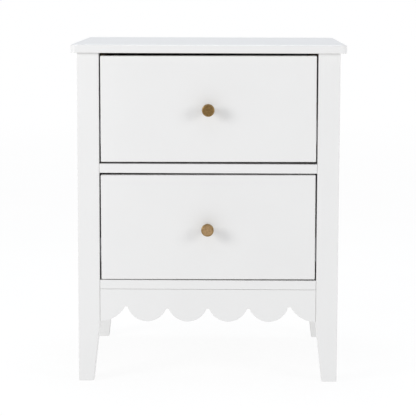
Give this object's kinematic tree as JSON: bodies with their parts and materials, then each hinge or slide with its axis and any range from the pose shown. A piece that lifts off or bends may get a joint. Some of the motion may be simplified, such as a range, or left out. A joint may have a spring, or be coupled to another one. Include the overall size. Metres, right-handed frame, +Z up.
{
  "type": "nightstand with drawers",
  "caption": "White nightstand with inset drawers on round brass knobs, square legs that taper at the foot, and a scalloped apron.",
  "frame": {"origin": "centre of the whole object's box at floor level, knobs included, with the drawers shut", "axes": "+Z up, +X to the right as seen by someone facing the drawers, drawers open towards -Y"},
  "size_m": [0.5024, 0.46, 0.625],
  "materials": {
    "white_paint": "satin white paint on board and solid wood, with eased edges",
    "drawer_box_wood": "clear-lacquered pale wood",
    "thin_board": "thin board with a white face",
    "plain_wood": "planed, unfinished softwood",
    "zinc_steel": "bright zinc plate",
    "aged_brass": "aged brass with a fine-grained flat face and a brighter rim",
    "glide_plastic": "off-white moulded plastic"
  },
  "bodies": {
    "carcass": {"top_panel": "white_paint", "leg_front_left": "white_paint", "leg_front_right": "white_paint", "leg_rear_left": "white_paint", "leg_rear_right": "white_paint", "side_panel_left": "white_paint", "side_panel_right": "white_paint", "bottom_panel": "white_paint", "middle_rail": "white_paint", "front_apron": "white_paint", "rear_top_rail": "white_paint", "rear_bottom_rail": "white_paint", "back_panel": "thin_board", "top_cleat_left": "plain_wood", "top_cleat_right": "plain_wood", "top_screw_left_front": "zinc_steel", "top_screw_left_rear": "zinc_steel", "top_screw_right_front": "zinc_steel", "top_screw_right_rear": "zinc_steel", "foot_glide_front_left": "glide_plastic", "foot_glide_front_right": "glide_plastic", "foot_glide_rear_left": "glide_plastic", "foot_glide_rear_right": "glide_plastic", "upper_slide_spacer_left": "plain_wood", "upper_slide_spacer_right": "plain_wood", "upper_slide_outer_left": "zinc_steel", "upper_slide_outer_right": "zinc_steel", "lower_slide_spacer_left": "plain_wood", "lower_slide_spacer_right": "plain_wood", "lower_slide_outer_left": "zinc_steel", "lower_slide_outer_right": "zinc_steel"},
    "upper_drawer": {"upper_drawer_front": "white_paint", "upper_box_front": "drawer_box_wood", "upper_box_side_left": "drawer_box_wood", "upper_box_side_right": "drawer_box_wood", "upper_box_back": "drawer_box_wood", "upper_box_bottom": "thin_board", "upper_knob": "aged_brass", "upper_knob_screw": "zinc_steel", "upper_front_screw_left": "zinc_steel", "upper_front_screw_right": "zinc_steel", "upper_slide_inner_left": "zinc_steel", "upper_slide_inner_right": "zinc_steel"},
    "upper_slide_middles": {"upper_slide_middle_left": "zinc_steel", "upper_slide_middle_right": "zinc_steel"},
    "lower_drawer": {"lower_drawer_front": "white_paint", "lower_box_front": "drawer_box_wood", "lower_box_side_left": "drawer_box_wood", "lower_box_side_right": "drawer_box_wood", "lower_box_back": "drawer_box_wood", "lower_box_bottom": "thin_board", "lower_knob": "aged_brass", "lower_knob_screw": "zinc_steel", "lower_front_screw_left": "zinc_steel", "lower_front_screw_right": "zinc_steel", "lower_slide_inner_left": "zinc_steel", "lower_slide_inner_right": "zinc_steel"},
    "lower_slide_middles": {"lower_slide_middle_left": "zinc_steel", "lower_slide_middle_right": "zinc_steel"}
  },
  "joints": [
    {"name": "upper_drawer_slide", "type": "slide", "parent": "carcass", "child": "upper_drawer", "axis": [0, -1, 0], "range_m": [0, 0.35]},
    {"name": "upper_middle_slide", "type": "slide", "parent": "carcass", "child": "upper_slide_middles", "axis": [0, -1, 0], "range_m": [0, 0.175]},
    {"name": "lower_drawer_slide", "type": "slide", "parent": "carcass", "child": "lower_drawer", "axis": [0, -1, 0], "range_m": [0, 0.35]},
    {"name": "lower_middle_slide", "type": "slide", "parent": "carcass", "child": "lower_slide_middles", "axis": [0, -1, 0], "range_m": [0, 0.175]}
  ],
  "couplings": [
    {"joint": "upper_middle_slide", "follows": "upper_drawer_slide", "ratio": 0.5},
    {"joint": "lower_middle_slide", "follows": "lower_drawer_slide", "ratio": 0.5}
  ]
}
